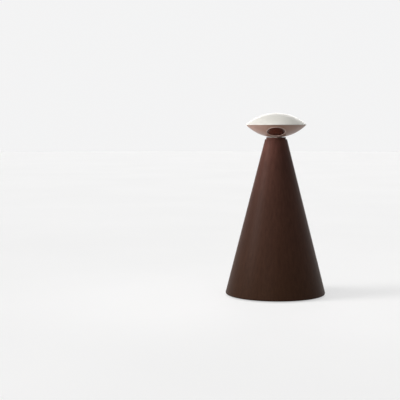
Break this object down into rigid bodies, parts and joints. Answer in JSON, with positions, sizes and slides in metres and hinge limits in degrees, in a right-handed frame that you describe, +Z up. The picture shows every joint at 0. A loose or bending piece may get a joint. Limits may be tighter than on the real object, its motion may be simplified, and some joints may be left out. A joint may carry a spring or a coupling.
{
  "type": "laser cat toy",
  "caption": "Tall cone-shaped battery tower with a slowly turning lens-shaped head; a laser in the tower shines onto a tilting mirror and out of a round smoked window.",
  "frame": {"origin": "centre of the base, on the surface the feet stand on", "axes": "+Z up, -Y towards the window in the head, +Y towards the buttons"},
  "size_m": [0.1142, 0.1142, 0.2083],
  "materials": {
    "shell_brown": "satin dark brown",
    "collar_dark": "satin",
    "head_pearl": "pearl paint",
    "bowl_pearl": "rosy pearl paint",
    "window_smoke": "smoked, clear",
    "bezel_silver": "silver paint",
    "base_black": "fine texture",
    "foot_rubber": "matte",
    "steel": "zinc plated",
    "spring_steel": "bright",
    "cell_sleeve": "plain sleeve",
    "brass": "turned",
    "board_green": "solder mask",
    "chip_black": "moulded",
    "cap_sleeve": "sleeve",
    "plug_white": "moulded",
    "lead_red": "soft",
    "button_grey": "satin",
    "led_clear": "clear",
    "frame_grey": "moulded",
    "gear_white": "acetal",
    "inner_black": "moulded",
    "mirror_face": "front silvered",
    "optic": "polished"
  },
  "bodies": {
    "tower": {"tower_shell": "shell_brown", "neck_collar": "collar_dark", "neck_bushing": "gear_white", "base_plate": "base_black", "feet": "foot_rubber", "base_screws": "steel", "battery_cell_1": "cell_sleeve", "battery_cell_2": "cell_sleeve", "battery_cell_3": "cell_sleeve", "battery_cell_4": "cell_sleeve", "contact_terminals": "spring_steel", "contact_bridges": "spring_steel", "main_board": "board_green", "controller_chip": "chip_black", "capacitor": "cap_sleeve", "board_connectors": "plug_white", "leads": "lead_red", "control_board": "board_green", "power_switch": "chip_black", "mode_switch": "chip_black", "light_pipe": "led_clear", "status_led": "led_clear", "gear_frame_lower": "frame_grey", "gear_frame_upper": "frame_grey", "frame_screws": "steel", "idler_axles": "steel", "motor_can": "steel", "motor_end_cap": "inner_black", "motor_terminals": "brass", "laser_tube": "inner_black", "laser_barrel": "brass", "laser_lens": "optic", "laser_driver_board": "board_green", "face_cam": "gear_white"},
    "head": {"head_spindle": "inner_black", "head_gear": "gear_white", "spindle_clip": "spring_steel", "head_upper_shell": "head_pearl", "head_lower_shell": "bowl_pearl", "window_lens": "window_smoke", "window_bezel": "bezel_silver", "mirror_bracket": "frame_grey", "mirror_pivot_pin": "steel", "mirror_leaf_spring": "spring_steel"},
    "mirror": {"mirror_carrier": "inner_black", "mirror_glass": "mirror_face"},
    "idler_1": {"idler_gear_1": "gear_white"},
    "idler_2": {"idler_gear_2": "gear_white"},
    "motor_rotor": {"motor_shaft": "steel", "motor_pinion": "gear_white"},
    "power_button": {"power_button": "button_grey"},
    "mode_button": {"mode_button": "button_grey"},
    "battery_door": {"battery_door": "base_black", "door_screw": "steel"}
  },
  "joints": [
    {"name": "head_pan", "type": "hinge", "parent": "tower", "child": "head", "pos_m": [0, 0, 0.182], "axis": [0, 0, 1], "continuous": true},
    {"name": "idler_2_spin", "type": "hinge", "parent": "tower", "child": "idler_2", "pos_m": [0.0093, -0.0085, 0.133], "axis": [0, 0, 1], "continuous": true},
    {"name": "idler_1_spin", "type": "hinge", "parent": "tower", "child": "idler_1", "pos_m": [0, -0.014, 0.13], "axis": [0, 0, 1], "continuous": true},
    {"name": "motor_spin", "type": "hinge", "parent": "tower", "child": "motor_rotor", "pos_m": [-0.01016, -0.01034, 0.126], "axis": [0, 0, 1], "continuous": true},
    {"name": "mirror_tilt", "type": "hinge", "parent": "head", "child": "mirror", "pos_m": [0, 0, 0.2], "axis": [1, 0, 0], "range_deg": [-4, 4], "stiffness_Nm_per_rad": 0.002},
    {"name": "power_press", "type": "slide", "parent": "tower", "child": "power_button", "axis": [0, -0.9693, -0.2457], "range_m": [0, 0.0008], "stiffness_N_per_m": 400},
    {"name": "mode_press", "type": "slide", "parent": "tower", "child": "mode_button", "axis": [0, -0.9693, -0.2457], "range_m": [0, 0.0008], "stiffness_N_per_m": 400},
    {"name": "battery_door_swing", "type": "hinge", "parent": "tower", "child": "battery_door", "pos_m": [0, -0.0332, 0.0014], "axis": [-1, 0, 0], "range_deg": [0, 60]}
  ],
  "couplings": [
    {"joint": "idler_2_spin", "follows": "head_pan", "ratio": -3.2},
    {"joint": "idler_1_spin", "follows": "head_pan", "ratio": 8.32},
    {"joint": "motor_spin", "follows": "head_pan", "ratio": -21.632}
  ]
}
